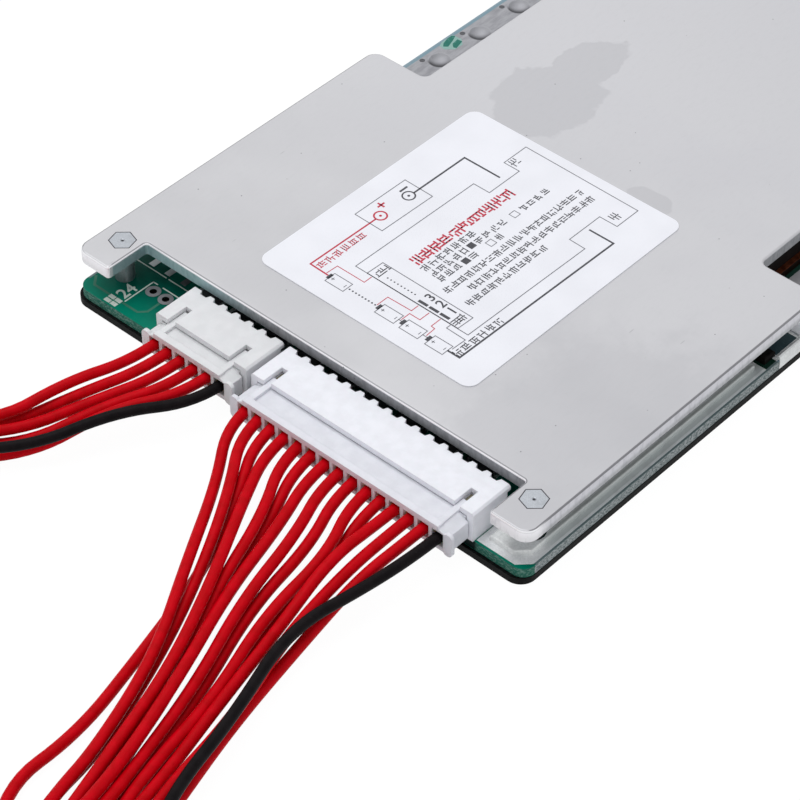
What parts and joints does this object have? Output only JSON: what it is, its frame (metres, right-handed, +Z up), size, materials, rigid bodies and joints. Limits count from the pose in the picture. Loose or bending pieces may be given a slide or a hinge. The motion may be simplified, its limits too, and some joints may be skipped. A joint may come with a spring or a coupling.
{
  "type": "battery management board",
  "caption": "Battery management board: circuit board under a flat aluminium heatsink plate, with side-entry sensing connectors and their coiled leads.",
  "frame": {"origin": "bottom centre of the board stack without its leads and plugs, on the insulating sheet's lower face", "axes": "+X across the board towards its right side, +Y from the connector edge to the far end, +Z up through the heatsink plate"},
  "size_m": [0.0861, 0.2767, 0.0095],
  "materials": {
    "sheet_plastic": "matt black fibre sheet",
    "board_green": "green solder mask on glass laminate",
    "plate_aluminium": "satin",
    "fastener_steel": "bright zinc",
    "connector_nylon": "natural white nylon",
    "tin_plate": "dull tinned",
    "contact_brass": "plated",
    "package_black": "moulded black",
    "bare_copper": "bare copper",
    "pad_silicone": "soft grey",
    "shunt_alloy": "bare copper alloy",
    "resistor_black": "glazed black",
    "capacitor_can": "bright sleeve",
    "solder": "soldered, uneven",
    "label_film": "printed paper film",
    "lead_red": "satin PVC",
    "lead_black": "satin PVC",
    "tie_nylon": "natural nylon"
  },
  "bodies": {
    "root": {"insulating_sheet": "sheet_plastic", "circuit_board": "board_green", "heatsink_plate": "plate_aluminium", "plate_standoffs": "fastener_steel", "board_screws": "fastener_steel", "header_6way": "connector_nylon", "header_15way": "connector_nylon", "header_6way_pins": "tin_plate", "header_15way_pins": "tin_plate", "plug_6way": "connector_nylon", "plug_15way": "connector_nylon", "plug_6way_contacts": "contact_brass", "plug_15way_contacts": "contact_brass", "mosfet_bodies": "package_black", "mosfet_tabs": "bare_copper", "mosfet_leads": "tin_plate", "thermal_pads": "pad_silicone", "current_shunts": "shunt_alloy", "balance_resistors": "resistor_black", "resistor_caps": "tin_plate", "monitor_chips": "package_black", "chip_leads": "tin_plate", "capacitors": "capacitor_can", "tinned_areas": "tin_plate", "power_pad_solder": "solder", "copper_busbar": "solder", "label": "label_film", "lead_coil_6way": "lead_red", "lead_coil_15way": "lead_red", "coil_ties_6way": "tie_nylon", "coil_ties_15way": "tie_nylon", "lead_6way_01": "lead_red", "lead_6way_02": "lead_red", "lead_6way_03": "lead_red", "lead_6way_04": "lead_red", "lead_6way_05": "lead_red", "lead_6way_06": "lead_black", "lead_15way_01": "lead_red", "lead_15way_02": "lead_red", "lead_15way_03": "lead_red", "lead_15way_04": "lead_red", "lead_15way_05": "lead_red", "lead_15way_06": "lead_red", "lead_15way_07": "lead_red", "lead_15way_08": "lead_red", "lead_15way_09": "lead_red", "lead_15way_10": "lead_red", "lead_15way_11": "lead_red", "lead_15way_12": "lead_red", "lead_15way_13": "lead_red", "lead_15way_14": "lead_red", "lead_15way_15": "lead_black"}
  },
  "joints": []
}
